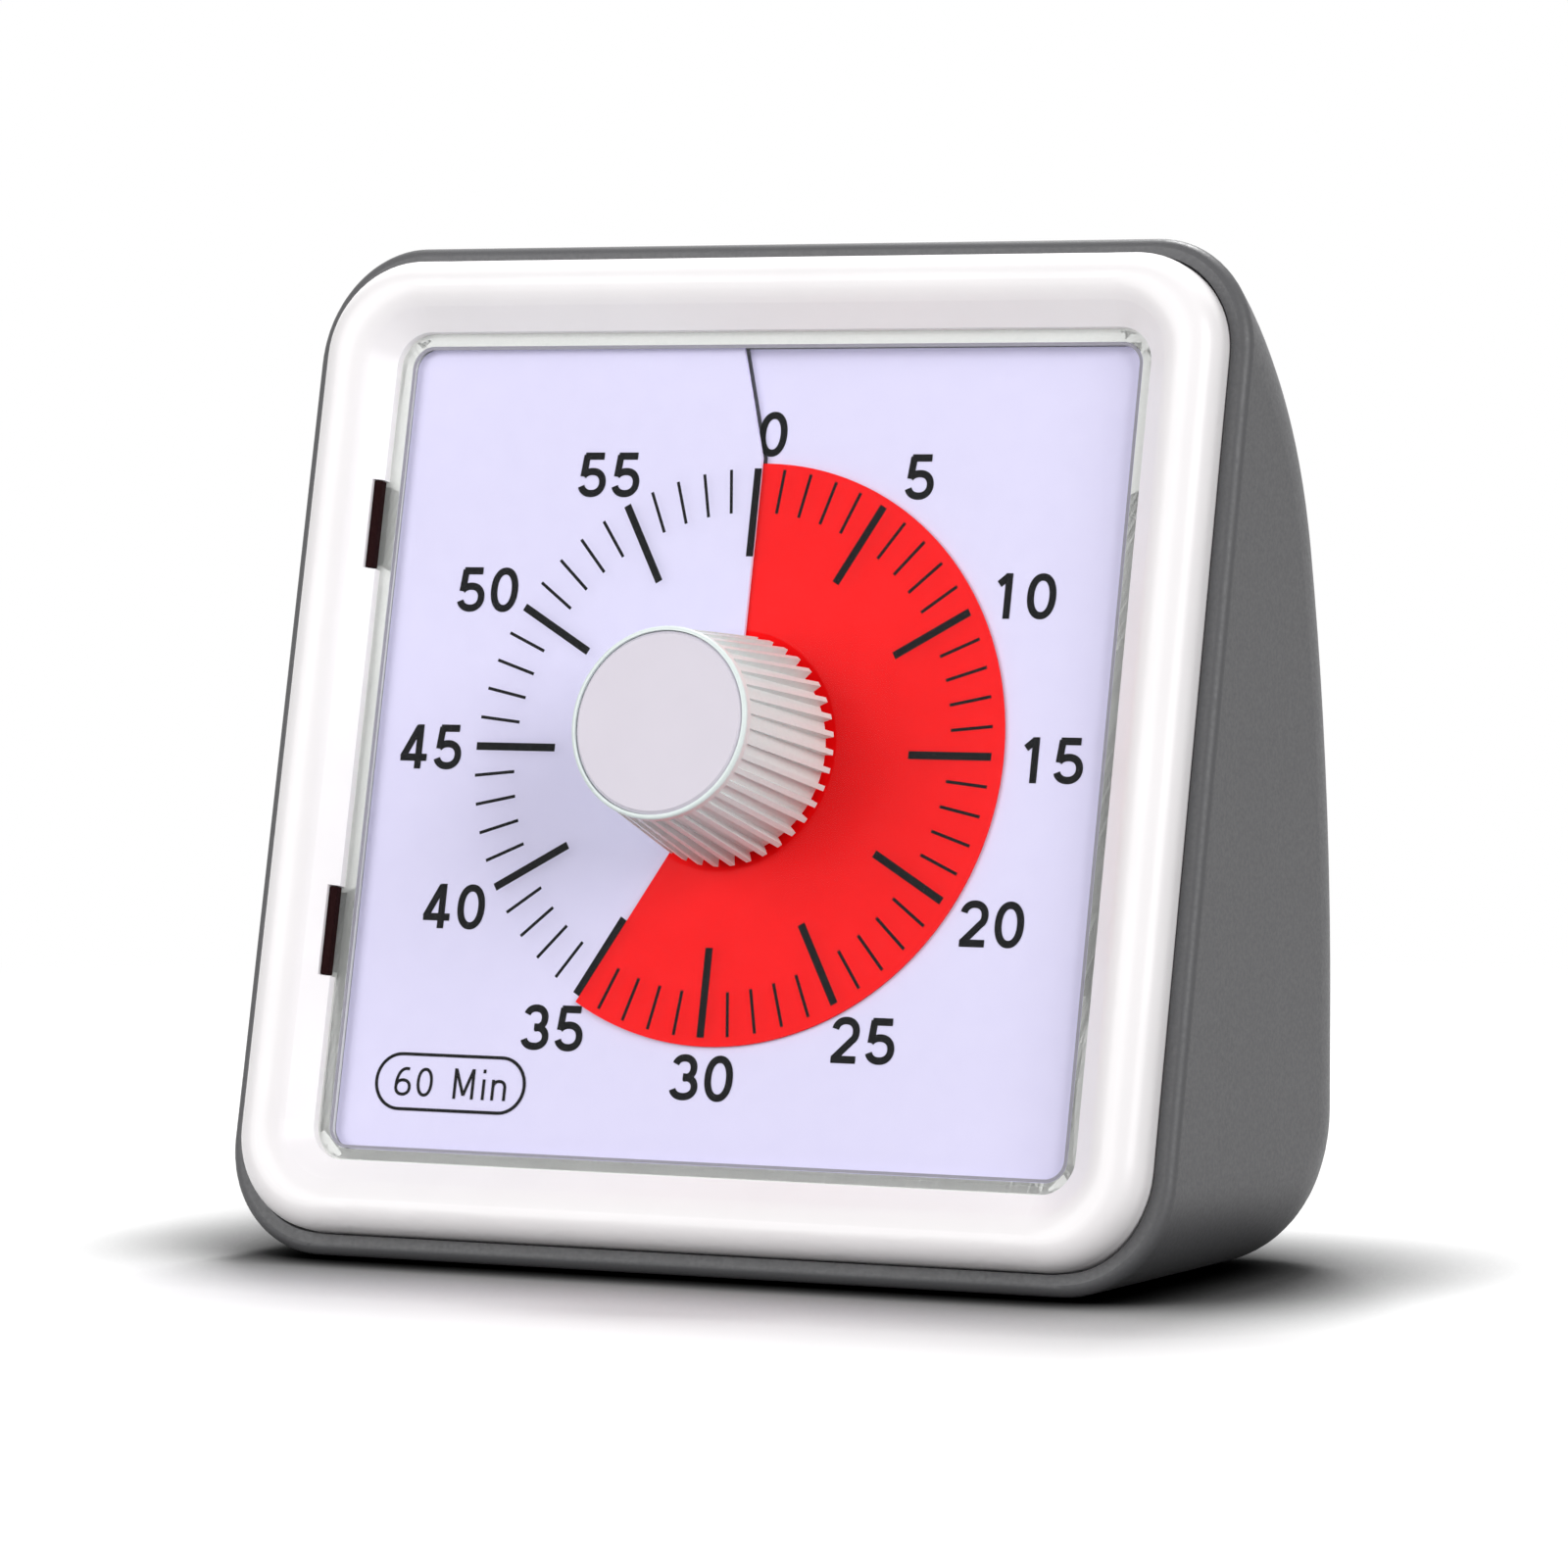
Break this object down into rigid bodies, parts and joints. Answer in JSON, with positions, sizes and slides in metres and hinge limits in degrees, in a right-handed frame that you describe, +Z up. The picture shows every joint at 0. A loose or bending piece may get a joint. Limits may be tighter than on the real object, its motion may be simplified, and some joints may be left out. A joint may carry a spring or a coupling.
{
  "type": "visual countdown timer",
  "caption": "Square desk timer with a white bezel, a lavender minute card, a red film disc that covers the minutes left, a ribbed setting knob and a dark leaning case.",
  "frame": {"origin": "on the table, under the centre of the whole timer's bounding box, knob included", "axes": "+Z up, -Y towards the viewer in front of the dial, +X to the viewer's right"},
  "size_m": [0.0814, 0.0432, 0.0796],
  "materials": {
    "shell": "satin",
    "rubber": "matte",
    "screw_steel": "zinc plated",
    "bezel": "semi gloss",
    "lens": "clear acrylic",
    "frame": "moulded",
    "card": "printed",
    "film": "film",
    "knob": "semi gloss",
    "cap": "semi gloss",
    "acetal": "moulded",
    "spring_steel": "rolled",
    "movement_black": "moulded",
    "gear_white": "moulded",
    "rotor": "bonded magnet",
    "stator": "stamped",
    "bobbin": "moulded",
    "copper": "enamelled wire",
    "board": "solder mask",
    "epoxy": "epoxy",
    "can": "drawn",
    "sounder": "moulded",
    "cell": "wrapped",
    "contact": "nickel plated",
    "slider": "moulded"
  },
  "bodies": {
    "case": {"rear_shell": "shell", "rubber_feet": "rubber", "case_screws": "screw_steel", "front_bezel": "bezel", "lens": "lens", "dial_frame": "frame", "bezel_screws": "screw_steel", "dial_card": "card", "movement_plate": "movement_black", "movement_cover": "movement_black", "movement_screws": "screw_steel", "stator": "stator", "coil_bobbin": "bobbin", "coil_winding": "copper", "circuit_board": "board", "chip": "epoxy", "crystal": "can", "sounder": "sounder", "cell": "cell", "contact_plus": "contact", "contact_minus": "contact", "switch_body": "movement_black"},
    "knob": {"knob": "knob", "knob_cap": "cap", "knob_screw": "screw_steel", "centre_shaft": "acetal", "disc_hub": "acetal", "clutch_spring": "spring_steel"},
    "film": {"red_disc": "film"},
    "centre_wheel": {"centre_wheel": "gear_white"},
    "third_wheel": {"third_wheel": "gear_white"},
    "second_wheel": {"second_wheel": "gear_white"},
    "intermediate_wheel": {"intermediate_wheel": "gear_white"},
    "rotor": {"rotor": "rotor"},
    "battery_door": {"battery_door": "shell"},
    "switch_slider": {"switch_slider": "slider"}
  },
  "joints": [
    {"name": "knob_turn", "type": "hinge", "parent": "case", "child": "knob", "pos_m": [0, -0.01006, 0.0407], "axis": [0, 0.9755, -0.2198], "range_deg": [-210, 150]},
    {"name": "film_feed", "type": "slide", "parent": "knob", "child": "film", "axis": [0, -0.9755, 0.2198], "range_m": [-0.0007, 0.0007]},
    {"name": "intermediate_turn", "type": "hinge", "parent": "case", "child": "intermediate_wheel", "pos_m": [0.00518, -0.00785, 0.05051], "axis": [0, 0.9755, -0.2198], "continuous": true},
    {"name": "rotor_turn", "type": "hinge", "parent": "case", "child": "rotor", "pos_m": [0.01082, -0.0083, 0.04851], "axis": [0, 0.9755, -0.2198], "continuous": true},
    {"name": "second_turn", "type": "hinge", "parent": "case", "child": "second_wheel", "pos_m": [-0.00172, -0.00758, 0.0517], "axis": [0, 0.9755, -0.2198], "continuous": true},
    {"name": "third_turn", "type": "hinge", "parent": "case", "child": "third_wheel", "pos_m": [-0.00778, -0.00835, 0.04828], "axis": [0, 0.9755, -0.2198], "continuous": true},
    {"name": "centre_turn", "type": "hinge", "parent": "case", "child": "centre_wheel", "pos_m": [0, -0.01006, 0.0407], "axis": [0, 0.9755, -0.2198], "continuous": true},
    {"name": "battery_door_swing", "type": "hinge", "parent": "case", "child": "battery_door", "pos_m": [0, 0.02142, 0.01025], "axis": [-1, 0, 0], "range_deg": [0, 75]},
    {"name": "volume_slide", "type": "slide", "parent": "case", "child": "switch_slider", "axis": [1, 0, 0], "range_m": [0, 0.003]}
  ],
  "couplings": [
    {"joint": "film_feed", "follows": "knob_turn", "m_per_rad": 0.00011141},
    {"joint": "rotor_turn", "follows": "intermediate_turn", "ratio": -5},
    {"joint": "second_turn", "follows": "intermediate_turn", "ratio": -0.16667},
    {"joint": "third_turn", "follows": "intermediate_turn", "ratio": 0.027778},
    {"joint": "centre_turn", "follows": "intermediate_turn", "ratio": -0.0027778}
  ]
}
